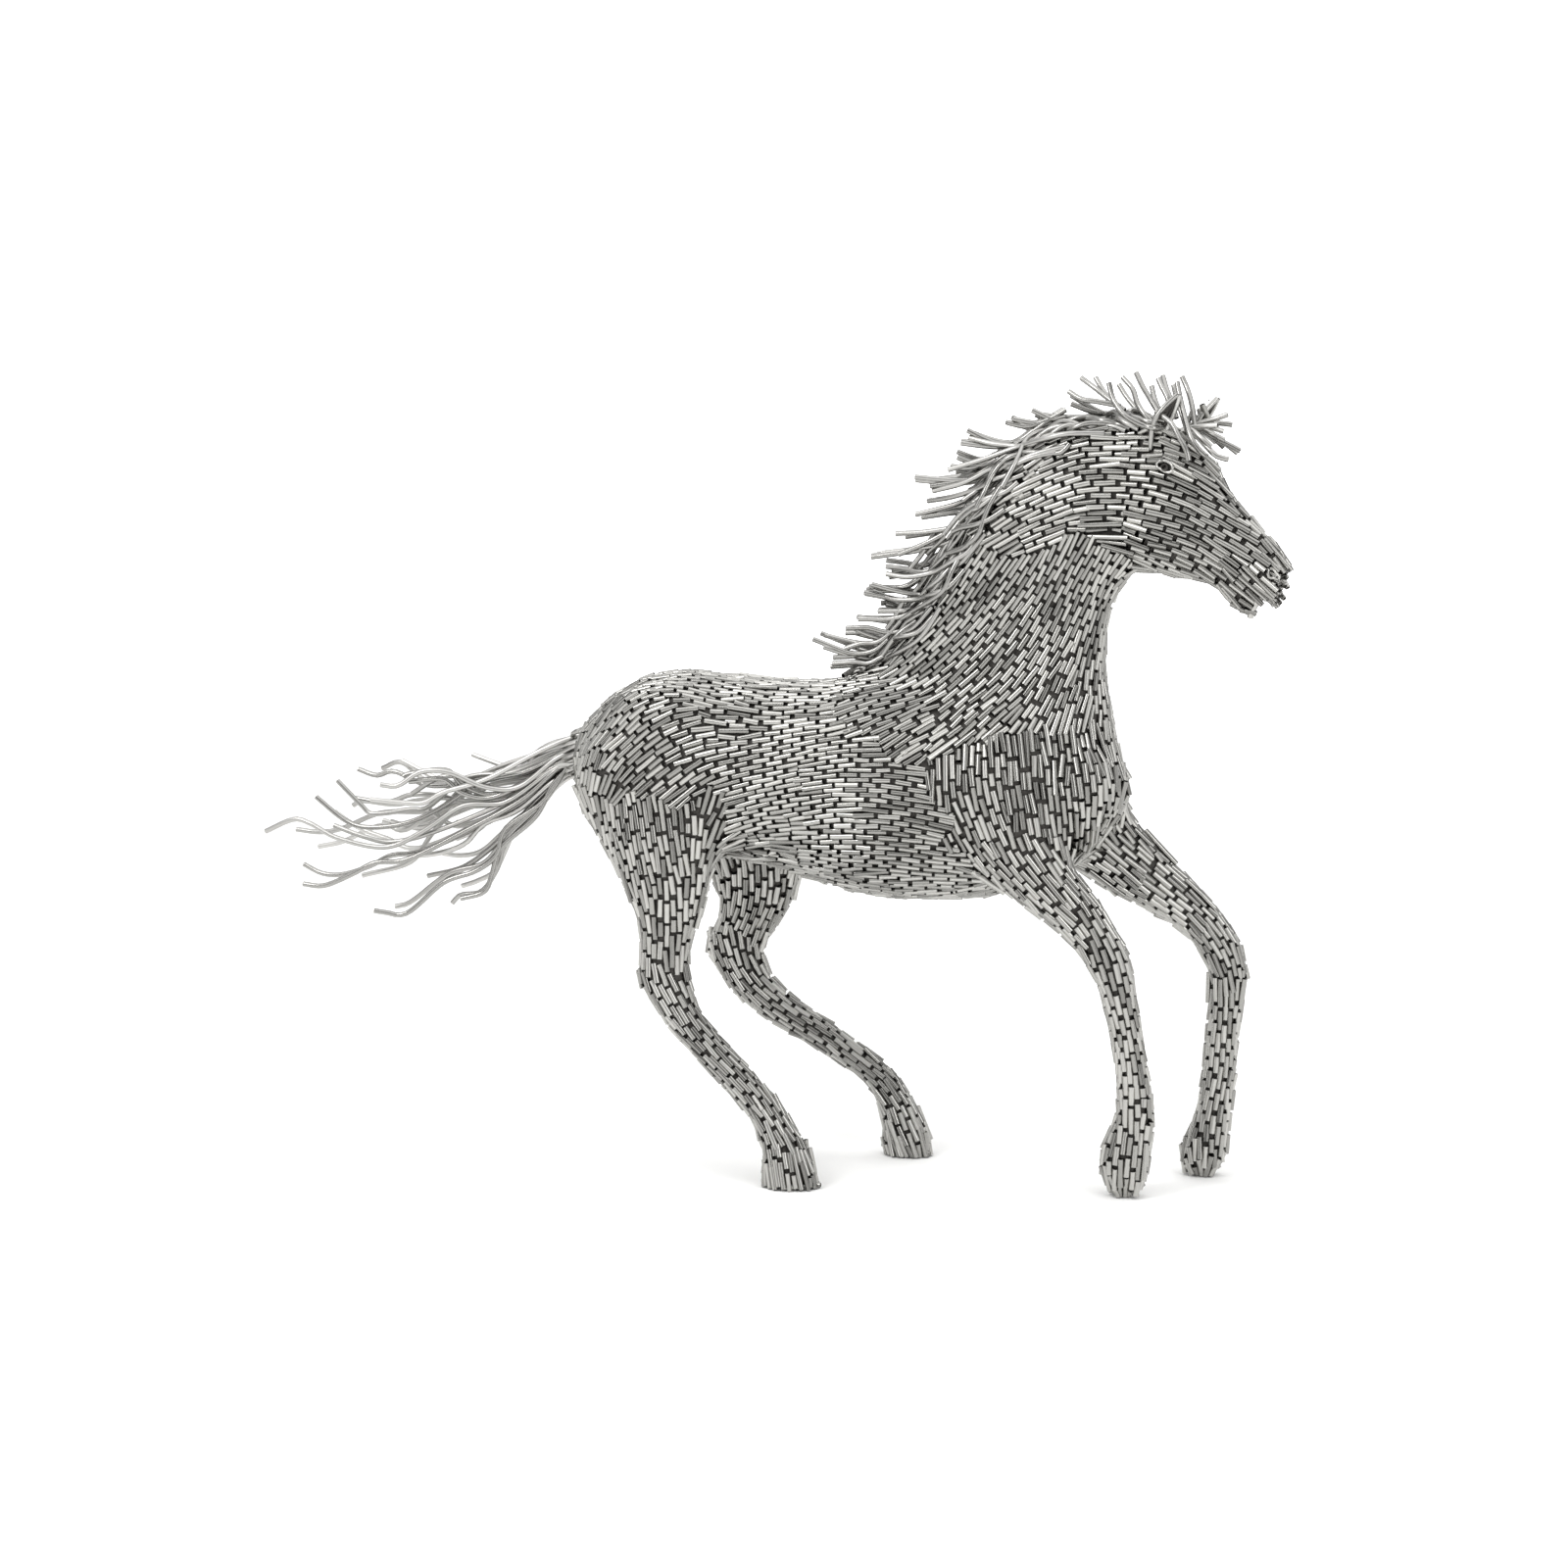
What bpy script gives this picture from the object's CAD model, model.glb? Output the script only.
"""The looks of the pipe horse sculpture.

Every short pipe of the skin is laid out here on the body's own form, in rows that follow
the flow of the muscles. The bent pipes of the mane, forelock, tail and ears follow.
"""
import math
import random
from itertools import product

import bpy
import numpy as np
from bpy.props import FloatProperty, FloatVectorProperty, IntProperty, PointerProperty
from mathutils import Matrix, Vector
from mathutils.bvhtree import BVHTree
from mathutils.kdtree import KDTree


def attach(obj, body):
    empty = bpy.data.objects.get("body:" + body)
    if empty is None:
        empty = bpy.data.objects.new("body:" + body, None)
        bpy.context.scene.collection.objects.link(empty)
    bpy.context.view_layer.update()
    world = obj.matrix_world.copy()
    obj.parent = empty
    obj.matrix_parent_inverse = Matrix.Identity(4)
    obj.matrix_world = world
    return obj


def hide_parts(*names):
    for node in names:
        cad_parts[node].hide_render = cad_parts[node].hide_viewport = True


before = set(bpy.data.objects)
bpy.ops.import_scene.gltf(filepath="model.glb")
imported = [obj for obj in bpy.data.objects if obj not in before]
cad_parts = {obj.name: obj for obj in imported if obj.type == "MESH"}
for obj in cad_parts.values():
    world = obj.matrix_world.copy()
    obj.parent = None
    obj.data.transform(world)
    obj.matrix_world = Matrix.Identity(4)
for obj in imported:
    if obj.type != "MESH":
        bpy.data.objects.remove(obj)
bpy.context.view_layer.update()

bl_info = {
    "name": "Pipe horse sculpture",
    "version": (1, 0, 0),
    "blender": (4, 5, 0),
    "location": "View3D > Sidebar > Pipe Horse",
    "description": "Lays the welded pipes of a horse sculpture over its plain solids",
    "category": "Object",
}

BODY = "root"
ALL_NODES = sorted(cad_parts)
MANE_NODES = [name for name in ALL_NODES if name.startswith("mane_pipe")]
FORELOCK_NODES = [name for name in ALL_NODES if name.startswith("forelock_pipe")]
TAIL_NODES = [name for name in ALL_NODES if name.startswith("tail_pipe")]
SKIN_FINISH = "brushed stainless tube"
HAIR_FINISH = "satin stainless hair tube"
INNER_FINISH = "dull inner steel"

# The way the rows run on each part of the skin: x, z and the angle in a side view, from
# the front of the horse upwards, in metres and degrees. Each part has its own rows.
CROUP_FLOW = (
    (-0.4, 1.14, 62), (-0.36, 1.18, 48), (-0.31, 1.2, 35), (-0.24, 1.24, 15), (-0.14, 1.24, 0),
    (-0.04, 1.23, -12), (0.02, 1.18, -14), (-0.29, 1.09, 40), (-0.24, 1.02, 42),
    (-0.19, 1.07, 35), (-0.14, 1.07, 25), (-0.06, 1.08, 8), (-0.05, 1.14, -10),
    (-0.39, 1.02, 88), (-0.42, 1.07, 80), (-0.34, 1.02, 62), (-0.16, 1, 40), (-0.1, 1.01, 35),
)
THIGH_FLOW = (
    (-0.39, 0.87, -78), (-0.34, 0.89, -80), (-0.26, 0.92, -80), (-0.19, 0.92, -78),
    (-0.14, 0.91, -85), (-0.07, 0.94, 65), (-0.05, 0.88, 60), (-0.24, 0.8, -77),
    (-0.29, 0.8, -77), (-0.16, 0.8, -80), (-0.39, 0.94, -88),
)
BARREL_FLOW = (
    (0.07, 1.24, 3), (0.17, 1.26, 3), (0.27, 1.27, 5), (0.07, 1.1, 12), (0.2, 1.1, 12),
    (0.07, 0.96, 13), (0.2, 0.96, 11), (0.32, 1.06, 0), (0.32, 0.94, -3), (0.42, 1.01, -8),
    (0.46, 0.92, -14), (0.12, 0.84, 11), (0.27, 0.82, 6), (0.42, 0.82, -5), (0.5, 0.8, -12),
    (0, 1.02, 15), (-0.01, 0.88, 20),
)
NECK_FLOW = (
    (0.35, 1.2, 22), (0.41, 1.25, 27), (0.48, 1.27, 30), (0.43, 1.13, 38), (0.52, 1.15, 45),
    (0.6, 1.2, 45), (0.69, 1.23, 48), (0.5, 1.29, 45), (0.6, 1.37, 52), (0.69, 1.39, 55),
    (0.79, 1.39, 62), (0.57, 1.48, 55), (0.69, 1.48, 55), (0.81, 1.49, 65), (0.88, 1.39, 82),
    (0.89, 1.25, 100), (0.91, 1.11, 103), (0.83, 1.25, 75), (0.78, 1.25, 60),
    (0.43, 1.34, 35), (0.5, 1.42, 45),
)
CHEST_FLOW = (
    (0.6, 1.06, -88), (0.5, 1.01, -88), (0.7, 1.06, -90), (0.79, 1.06, -90), (0.89, 1.02, -90),
    (0.7, 0.92, -85), (0.79, 0.9, -88), (0.6, 0.91, -75), (0.55, 0.89, -65), (0.62, 0.82, -55),
)
HEAD_FLOW = (
    (0.66, 1.62, 28), (0.74, 1.67, 22), (0.78, 1.74, 22), (0.72, 1.78, 30), (0.9, 1.67, 0),
    (0.88, 1.78, 0), (0.97, 1.67, -11), (0.97, 1.79, -3), (1.02, 1.62, -15), (1.04, 1.76, -12),
    (1.11, 1.72, -28), (1.08, 1.8, -25), (1.16, 1.62, -30), (1.2, 1.58, -33), (1.27, 1.51, -42),
    (1.18, 1.5, -38), (1.1, 1.55, -20),
)
NOSE_FLOW = ((1.14, 1.83, -57), (1.19, 1.75, -58), (1.24, 1.67, -56), (1.3, 1.59, -50))
# The parts of the skin, each with rows of its own
FLOWS = {
    "trunk": CROUP_FLOW + BARREL_FLOW, "neck": NECK_FLOW, "forehand": CHEST_FLOW,
    "quarters": THIGH_FLOW, "head": HEAD_FLOW, "nose": NOSE_FLOW,
}
PARTS = list(FLOWS)
# The number of a place that has no rows
BARE = -1
# The middle line of each leg from the body down to the hoof: the part that it belongs to,
# then x, y, z in metres
LEGS = (
    ("quarters", (
        (-0.22, -0.13, 0.78), (-0.205, -0.14, 0.68), (-0.2, -0.15, 0.6), (-0.21, -0.16, 0.51),
        (-0.15, -0.165, 0.4), (-0.08, -0.175, 0.32), (0.06, -0.195, 0.195), (0.1, -0.2, 0.14),
        (0.125, -0.205, 0.09), (0.135, -0.208, 0.02),
    )),
    ("quarters", (
        (-0.045, 0.15, 0.82), (-0.05, 0.165, 0.73), (-0.05, 0.175, 0.66), (-0.11, 0.185, 0.56),
        (-0.07, 0.19, 0.44), (0.01, 0.195, 0.37), (0.18, 0.205, 0.27), (0.28, 0.21, 0.19),
        (0.32, 0.21, 0.14), (0.35, 0.21, 0.02),
    )),
    ("forehand", (
        (0.68, -0.12, 0.83), (0.74, -0.12, 0.765), (0.81, -0.12, 0.71), (0.865, -0.12, 0.65),
        (0.9, -0.12, 0.6), (0.92, -0.12, 0.55), (0.945, -0.115, 0.44), (0.97, -0.11, 0.3),
        (0.975, -0.105, 0.18), (0.955, -0.105, 0.12), (0.955, -0.105, 0.02),
    )),
    ("forehand", (
        (0.85, 0.14, 0.85), (0.935, 0.155, 0.775), (1.015, 0.165, 0.72), (1.08, 0.17, 0.67),
        (1.13, 0.17, 0.62), (1.16, 0.17, 0.57), (1.18, 0.17, 0.52), (1.165, 0.17, 0.36),
        (1.15, 0.17, 0.2), (1.12, 0.17, 0.1), (1.12, 0.167, 0.02),
    )),
)


# The crest from the withers up to the poll, and the tips of the mane, all as x and z
CREST = (
    (0.247, 1.283), (0.323, 1.334), (0.393, 1.422), (0.444, 1.505), (0.495, 1.607),
    (0.539, 1.689), (0.603, 1.772), (0.685, 1.842), (0.781, 1.886), (0.901, 1.911),
    (0.965, 1.89), (1.035, 1.873),
)
MANE_TIPS = (
    (0.15, 1.355), (0.2, 1.3), (0.225, 1.34), (0.23, 1.38), (0.26, 1.403), (0.31, 1.429),
    (0.3, 1.448), (0.273, 1.467), (0.285, 1.492), (0.33, 1.511), (0.33, 1.53), (0.298, 1.562),
    (0.368, 1.575), (0.35, 1.61), (0.406, 1.664), (0.425, 1.683), (0.444, 1.734),
    (0.42, 1.755), (0.495, 1.784), (0.52, 1.842), (0.54, 1.86), (0.634, 1.886),
    (0.66, 1.9), (0.7, 1.918), (0.78, 1.937), (0.78, 1.962),
)
# Pipes of the mane that show one by one, from the tip to the root, as x and z
MANE_STRANDS = (
    ((0.406, 1.757), (0.48, 1.75), (0.545, 1.75), (0.587, 1.767), (0.626, 1.798), (0.665, 1.825),
     (0.71, 1.856)),
    ((0.444, 1.734), (0.509, 1.743), (0.545, 1.752), (0.598, 1.784), (0.64, 1.812), (0.686, 1.832)),
    ((0.407, 1.664), (0.463, 1.677), (0.517, 1.692), (0.556, 1.715), (0.587, 1.746), (0.623, 1.77)),
    ((0.423, 1.657), (0.484, 1.666), (0.534, 1.673), (0.57, 1.683), (0.591, 1.697)),
    ((0.296, 1.559), (0.362, 1.568), (0.424, 1.578), (0.463, 1.603), (0.495, 1.631),
     (0.552, 1.655), (0.595, 1.676)),
    ((0.585, 1.673), (0.605, 1.708), (0.619, 1.742), (0.637, 1.77), (0.665, 1.791), (0.711, 1.811)),
    ((0.537, 1.87), (0.583, 1.847), (0.622, 1.836), (0.665, 1.843), (0.707, 1.87), (0.745, 1.897)),
    ((0.521, 1.839), (0.58, 1.831), (0.622, 1.829), (0.661, 1.839), (0.7, 1.867)),
    ((0.496, 1.783), (0.534, 1.778), (0.559, 1.781), (0.591, 1.798), (0.619, 1.815)),
    ((0.512, 1.804), (0.555, 1.788), (0.58, 1.784), (0.608, 1.798)),
    ((0.506, 1.564), (0.556, 1.585), (0.588, 1.613), (0.599, 1.645), (0.616, 1.687),
     (0.648, 1.735), (0.669, 1.763), (0.679, 1.797)),
    ((0.637, 1.887), (0.682, 1.877), (0.71, 1.884), (0.745, 1.897), (0.78, 1.917)),
    ((0.647, 1.901), (0.685, 1.882), (0.724, 1.887), (0.766, 1.907)),
    ((0.697, 1.917), (0.724, 1.904), (0.749, 1.894), (0.78, 1.9)),
    ((0.645, 1.722), (0.683, 1.784), (0.7, 1.832), (0.735, 1.87), (0.78, 1.893)),
    ((0.333, 1.536), (0.383, 1.53), (0.426, 1.522), (0.462, 1.539), (0.498, 1.578), (0.519, 1.613)),
    ((0.291, 1.487), (0.354, 1.483), (0.386, 1.488), (0.419, 1.508), (0.455, 1.536),
     (0.498, 1.557), (0.523, 1.568)),
    ((0.278, 1.471), (0.332, 1.461), (0.387, 1.447)),
    ((0.382, 1.445), (0.412, 1.479), (0.44, 1.515), (0.498, 1.582), (0.515, 1.61)),
    ((0.313, 1.425), (0.361, 1.426), (0.39, 1.43), (0.426, 1.451), (0.462, 1.479),
     (0.498, 1.508), (0.519, 1.55)),
    ((0.263, 1.405), (0.336, 1.405), (0.383, 1.415), (0.423, 1.444)),
    ((0.232, 1.382), (0.289, 1.383), (0.329, 1.373), (0.369, 1.375), (0.401, 1.391),
     (0.437, 1.426)),
    ((0.147, 1.354), (0.205, 1.332), (0.241, 1.32), (0.278, 1.319), (0.311, 1.33), (0.34, 1.355)),
    ((0.197, 1.293), (0.256, 1.297), (0.289, 1.294), (0.325, 1.312), (0.362, 1.33)),
    ((0.231, 1.331), (0.271, 1.344), (0.311, 1.347), (0.343, 1.369), (0.372, 1.401)),
    ((0.236, 1.25), (0.263, 1.269), (0.282, 1.283), (0.307, 1.308)),
    ((0.346, 1.305), (0.383, 1.355), (0.414, 1.4)),
    ((0.335, 1.38), (0.352, 1.401), (0.361, 1.419), (0.383, 1.458)),
    ((0.505, 1.562), (0.548, 1.578), (0.576, 1.606), (0.59, 1.623)),
    ((0.419, 1.415), (0.477, 1.451), (0.505, 1.48), (0.523, 1.525), (0.548, 1.592)),
    ((0.395, 1.53), (0.422, 1.564), (0.444, 1.599), (0.462, 1.627)),
)
# Pipes that stand up at the poll, from the tip to the foot, as x, y and z
POLL_PIPES = (
    ((0.817, -0.03, 1.993), (0.85, -0.04, 1.969), (0.885, -0.06, 1.942), (0.93, -0.08, 1.91)),
    ((0.849, 0, 1.995), (0.864, -0.01, 1.97), (0.885, -0.03, 1.944), (0.925, -0.05, 1.91)),
    ((0.793, -0.07, 1.958), (0.826, -0.08, 1.938), (0.863, -0.085, 1.932), (0.92, -0.09, 1.92)),
    ((0.895, -0.11, 1.974), (0.907, -0.12, 1.934), (0.934, -0.135, 1.898), (0.967, -0.14, 1.877),
     (0.999, -0.14, 1.864)),
    ((0.924, -0.08, 1.989), (0.95, -0.095, 1.96), (0.963, -0.115, 1.927), (0.983, -0.13, 1.897),
     (1.005, -0.135, 1.876)),
    ((0.951, -0.03, 2.002), (0.97, -0.05, 1.966), (0.99, -0.07, 1.936), (1.014, -0.09, 1.9)),
    ((1.007, -0.06, 1.986), (1.019, -0.07, 1.961), (1.032, -0.08, 1.938), (1.046, -0.09, 1.89)),
    ((1.013, -0.01, 1.995), (1.024, -0.03, 1.963), (1.035, -0.05, 1.94), (1.053, -0.07, 1.89)),
    ((1.056, -0.1, 1.974), (1.066, -0.115, 1.933), (1.079, -0.135, 1.889), (1.095, -0.158, 1.842),
     (1.114, -0.165, 1.813), (1.13, -0.165, 1.798)),
    ((1.063, -0.05, 1.99), (1.078, -0.06, 1.957), (1.09, -0.08, 1.92), (1.1, -0.1, 1.87)),
    ((1.035, 0.03, 1.975), (1.045, 0.015, 1.94), (1.06, 0, 1.9), (1.07, -0.01, 1.87)),
    ((0.98, 0.05, 1.975), (0.99, 0.035, 1.94), (1.01, 0.015, 1.9), (1.03, 0, 1.88)),
    ((0.9, 0.05, 1.98), (0.92, 0.035, 1.95), (0.95, 0.02, 1.915), (0.98, 0.01, 1.89)),
    ((1.03, -0.15, 1.89), (1.052, -0.163, 1.872), (1.069, -0.173, 1.841), (1.088, -0.18, 1.809),
     (1.093, -0.18, 1.785)),
)
FORELOCK_PIPES = (
    ((1.178, -0.12, 1.895), (1.148, -0.115, 1.885), (1.112, -0.1, 1.876), (1.08, -0.09, 1.86)),
    ((1.187, -0.09, 1.872), (1.157, -0.09, 1.876), (1.124, -0.08, 1.877), (1.09, -0.07, 1.86)),
    ((1.158, -0.15, 1.868), (1.129, -0.14, 1.867), (1.096, -0.12, 1.865), (1.07, -0.11, 1.86)),
    ((1.172, -0.12, 1.834), (1.145, -0.12, 1.848), (1.112, -0.1, 1.864), (1.08, -0.09, 1.86)),
    ((1.208, -0.11, 1.809), (1.184, -0.11, 1.822), (1.152, -0.11, 1.838), (1.111, -0.09, 1.862),
     (1.08, -0.08, 1.865)),
    ((1.2, -0.085, 1.805), (1.175, -0.09, 1.825), (1.14, -0.09, 1.85), (1.1, -0.075, 1.868)),
    ((1.184, -0.15, 1.788), (1.156, -0.155, 1.796), (1.13, -0.145, 1.821), (1.1, -0.125, 1.85),
     (1.075, -0.11, 1.865)),
    ((1.143, -0.15, 1.817), (1.124, -0.15, 1.835), (1.099, -0.135, 1.856), (1.08, -0.12, 1.865)),
    ((1.165, -0.05, 1.82), (1.145, -0.05, 1.838), (1.12, -0.05, 1.855), (1.085, -0.055, 1.868)),
    ((1.16, -0.02, 1.86), (1.135, -0.03, 1.868), (1.11, -0.035, 1.87), (1.08, -0.045, 1.868)),
    ((1.14, 0.01, 1.835), (1.12, 0, 1.852), (1.095, -0.02, 1.865), (1.07, -0.03, 1.87)),
)
# Pipes of the tail from tip to dock, as x and z. They part sideways as they leave the dock
TAIL_PIPES = (
    ((-1.1, 1), (-1.05, 0.99), (-0.99, 1), (-0.89, 0.965), (-0.7, 0.99), (-0.56, 1.05)),
    ((-1.01, 1.02), (-0.88, 0.965), (-0.83, 0.96), (-0.7, 1.01), (-0.56, 1.06)),
    ((-0.99, 0.97), (-0.95, 0.96), (-0.88, 1), (-0.82, 1), (-0.72, 0.96), (-0.64, 0.97),
     (-0.54, 1.04)),
    ((-0.8, 1.04), (-0.7, 1.01), (-0.65, 1.015), (-0.58, 1.06), (-0.51, 1.09)),
    ((-1.15, 0.97), (-1.08, 0.9), (-1.05, 0.89), (-0.94, 0.89), (-0.89, 0.91), (-0.79, 0.98),
     (-0.67, 1), (-0.56, 1.04)),
    ((-1.19, 0.93), (-1.11, 0.87), (-1.05, 0.86), (-0.94, 0.87), (-0.86, 0.9), (-0.75, 0.97),
     (-0.62, 1), (-0.53, 1.05)),
    ((-1.17, 0.89), (-1.14, 0.9), (-1.05, 0.89), (-0.97, 0.91), (-0.89, 0.92), (-0.78, 0.91),
     (-0.64, 0.96), (-0.55, 1.02)),
    ((-1.315, 0.84), (-1.24, 0.87), (-1.19, 0.87), (-1.11, 0.82), (-0.98, 0.81),
     (-0.89, 0.85), (-0.78, 0.91), (-0.67, 0.93), (-0.55, 1.01)),
    ((-1.3, 0.83), (-1.23, 0.82), (-1.16, 0.84), (-1.06, 0.88), (-0.94, 0.88), (-0.88, 0.9),
     (-0.78, 0.97), (-0.62, 1), (-0.54, 1.05)),
    ((-1.19, 0.88), (-1.12, 0.83), (-1.04, 0.81), (-0.97, 0.79), (-0.85, 0.82), (-0.68, 0.92),
     (-0.55, 1.01)),
    ((-1.02, 0.93), (-0.94, 0.93), (-0.88, 0.93), (-0.83, 0.95), (-0.72, 0.99), (-0.58, 1.06)),
    ((-1.06, 0.85), (-1.01, 0.84), (-0.96, 0.83), (-0.88, 0.87), (-0.79, 0.91), (-0.67, 0.93),
     (-0.55, 0.99)),
    ((-1.23, 0.75), (-1.18, 0.72), (-1.12, 0.72), (-1.04, 0.75), (-0.99, 0.78), (-0.9, 0.79),
     (-0.76, 0.85), (-0.62, 0.93), (-0.54, 1.01)),
    ((-1.08, 0.72), (-0.95, 0.76), (-0.88, 0.84), (-0.82, 0.9), (-0.7, 0.92), (-0.62, 0.96),
     (-0.54, 1.02)),
    ((-0.94, 0.71), (-0.86, 0.73), (-0.81, 0.76), (-0.74, 0.8), (-0.7, 0.85), (-0.62, 0.91),
     (-0.53, 1)),
    ((-1.01, 0.64), (-0.98, 0.63), (-0.93, 0.64), (-0.83, 0.72), (-0.75, 0.75), (-0.7, 0.79),
     (-0.67, 0.85), (-0.58, 0.93), (-0.51, 1.02)),
    ((-0.83, 0.69), (-0.79, 0.7), (-0.73, 0.74), (-0.69, 0.8), (-0.67, 0.85), (-0.59, 0.92),
     (-0.52, 1)),
    ((-0.84, 0.65), (-0.81, 0.68), (-0.75, 0.69), (-0.72, 0.74), (-0.69, 0.81), (-0.61, 0.89),
     (-0.55, 0.97), (-0.5, 1.03)),
    ((-0.92, 0.78), (-0.85, 0.79), (-0.78, 0.82), (-0.73, 0.87), (-0.64, 0.9), (-0.55, 0.98)),
    ((-0.9, 0.77), (-0.85, 0.76), (-0.78, 0.79), (-0.71, 0.84), (-0.64, 0.89), (-0.53, 0.98)),
    ((-0.94, 0.99), (-0.92, 1), (-0.83, 1), (-0.79, 0.97), (-0.7, 0.95), (-0.55, 1.02)),
    ((-0.91, 0.9), (-0.86, 0.86), (-0.8, 0.85), (-0.7, 0.9), (-0.55, 1)),
)
# The middle line of each ear from its foot to its tip, and how far its open side turns
# from straight ahead towards the right, in degrees
EARS = (
    ("ear_right", 52, (
        (1.008, -0.118, 1.815), (1.016, -0.127, 1.855), (1.029, -0.133, 1.888),
        (1.045, -0.136, 1.915), (1.063, -0.136, 1.942),
    )),
    ("ear_left", 20, (
        (1.085, -0.03, 1.845), (1.1, -0.033, 1.872), (1.116, -0.035, 1.895),
        (1.131, -0.036, 1.915), (1.147, -0.036, 1.938),
    )),
)
# Half the breadth of an ear at each of those places
EAR_BREADTHS = (0.012, 0.019, 0.022, 0.016, 0.003)
EAR_PIPES = 7
EAR_PIPE = 0.0078
EAR_RIM_PIPE = 0.0125
EAR_CUP = 0.013
# Hollows that the rows stop short of: the name, x, z, its half length, half height, lean
HOLLOWS = (("eye", 1.036, 1.77, 0.026, 0.016, -24), ("nostril", 1.288, 1.52, 0.018, 0.012, -35))
# Where the skin is pushed in or out in a side view: x, z, the reach, then how far along x
# and z. The mouth is a notch across the muzzle's underside, and the rump swells at the tail
PUSHES = ((1.268, 1.432, 0.026, 0, 0.03), (-0.47, 1.02, 0.15, -0.016, 0))
# Rows keep this share of a hollow's half length clear around its middle
HOLLOW_CLEAR = 0.85
# The muzzle ends in pipes that are seen end on: where they start, the way they point and
# how far each may stray from it, how nearly the skin there faces that way, as a cosine, their
# spacing in diameters, their length in mean pipe lengths, and how far they stand out
MUZZLE_X = 1.27
MUZZLE_AIM = (0.82, -0.12, -0.56)
MUZZLE_STRAY = 0.08
MUZZLE_FACING = 0.8
MUZZLE_SPACING = 0.98
MUZZLE_LENGTH = 0.55
MUZZLE_OUT = (-0.003, 0.004)

# Corners of the body's surface nearer than this are one. Rows are laid on it at this grain
MERGE = 0.00002
GUIDE_GRAIN = 0.01
# The dark surface inside the skin: its depth and its grain
CORE_DEPTH = 0.0125
CORE_GRAIN = 0.012
# Nothing reaches below this height
LOWEST = 0.0005
# How far the middle line of a leg lies inside it, and how soon a stroke loses its pull
LEG_HALF = 0.045
STROKE_FADE = 0.02

# From one place on a row to the next. One in so many of the skin's faces may seed a row
STEP = 0.006
SEED_EVERY = 5
# A row may come this near another, in pitches, before it stops, and a new one needs this
# much room at its seed on each round. After a round the rows are eased apart so many times
CROWDING = 0.84
ROOM = (0.98, 0.8, 0.73)
EASINGS = (3, 4, 6)
# Rows of these parts are set closer or wider than the rest, because they part along the way
CLOSENESS = {"neck": 0.88, "trunk": 0.97, "head": 1.08, "forehand": 1.12, "quarters": 1.12}
# Cosines: rows that face further apart don't crowd each other, and a row ends at a sharper
# turn of the flow or at a sharper edge
FACING_APART = 0.2
SHARPEST_TURN = 0.88
SHARPEST_EDGE = 0.5
# How far a row may run on over the next part's ground, in steps
OVERRUN = 2
SHORTEST_ROW = 0.022
# A row is eased between its neighbours, in pitches: how far it looks for them, from where on
# it is left alone, and how far along the row and off the skin a place may lie to count
EASE_REACH = 1.7
EASE_LIMIT = 1.69
EASE_ALONG = 0.45
EASE_OFF = 0.8

# Cuts in a row, in mean pipe lengths: how near its ends, and how far out of place
END_CUT = 0.36
STRAY_CUT = 0.12
# How the gaps vary, and the shortest pipe
GAP_RANGE = (0.45, 1.55)
SHORTEST_PIPE = 0.014
# A row's end reaches on by this much, and some rows reach over the next part's pipes
END_REACH = 0.004
PROUD_REACH = (0.009, 0.022)
PROUD_SHARE = 0.4
PROUD_LIFT = 0.007
# A pipe fills this share of its room, within these limits in diameters, give or take a little
SNUG = 1.03
GIRTH_LEAST = 0.88
GIRTH_MOST = 1.2
GIRTH_RANGE = (0.93, 1.03)
# How much deeper or higher than its neighbours a pipe is set
DEPTH_RANGE = (-0.0028, 0.002)
# The share of the skin's bulge between its ends that a pipe's middle follows
BULGE = 0.6

# The drawing marks on a pipe start this far along the pattern from those on the one before
SKIN_SHIFT = 0.31
HAIR_SHIFT = 3
# From one bend of a long pipe to the next, and of the small pipes around the eyes
BEND_STEP = 0.014
RIM_STEP = 0.006
RIM_PARTS = 6
LID_PIPE = 0.0078
LID_WALL = 0.001
PUPIL_PIPE = 0.017
PUPIL_WALL = 0.0016
PUPIL_DEPTHS = (0.001, -0.006, -0.013)

# Pipes on each side of the neck that lie within the mane, and how far up the crest they go
MANE_INNER = 38
INNER_REACH = 0.86
# How many of the tips in the list each side of the mane has
TIP_SHARE = 0.55
# How far along the crest a mane pipe rises
RISE = (0.13, 0.22)
# How far down the neck the mane's feet reach: at its ends, how much further between them,
# and how far up the crest the band has its upper end
BAND_LEAST = 0.012
BAND_SWELL = 0.078
BAND_END = 0.95
# A mane pipe from below upwards: shares of its rise, of its depth and of its lift
MANE_BEND = ((0.2, 0.3, 1.05), (0.45, 0.66, 1), (0.72, 0.92, 0.6), (1, 1, -0.1))
MANE_OFF = 0.004
# The tail's pipes part sideways by this much, from this x on and over this distance. Each
# is turned from the one before, in radians, and a copy strays by the drift
TAIL_BREADTH = 0.13
TAIL_X = -0.46
TAIL_PARTING = 0.6
TAIL_TURN = 2.4
TAIL_DRIFT = 0.045
# The tail's middle, and the mean height of its listed pipes where they meet the dock
TAIL_Y = 0.015
TAIL_ROOT = 1.03
# The dock on the rump as x, y and z, half its breadth, and where its pipes end inside
DOCK = (-0.488, 0.013, 1.053)
DOCK_BREADTH = 0.034
DOCK_END_X = -0.43

# How bright the surroundings are at each height on a unit ball, as shares of the brightest
BRIGHTEST = 2.2
HEIGHT_BANDS = ((0, 0.455), (0.3, 0.455), (0.4, 0.17), (0.6, 0.17), (0.72, 0.8), (1, 0.8))
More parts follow.
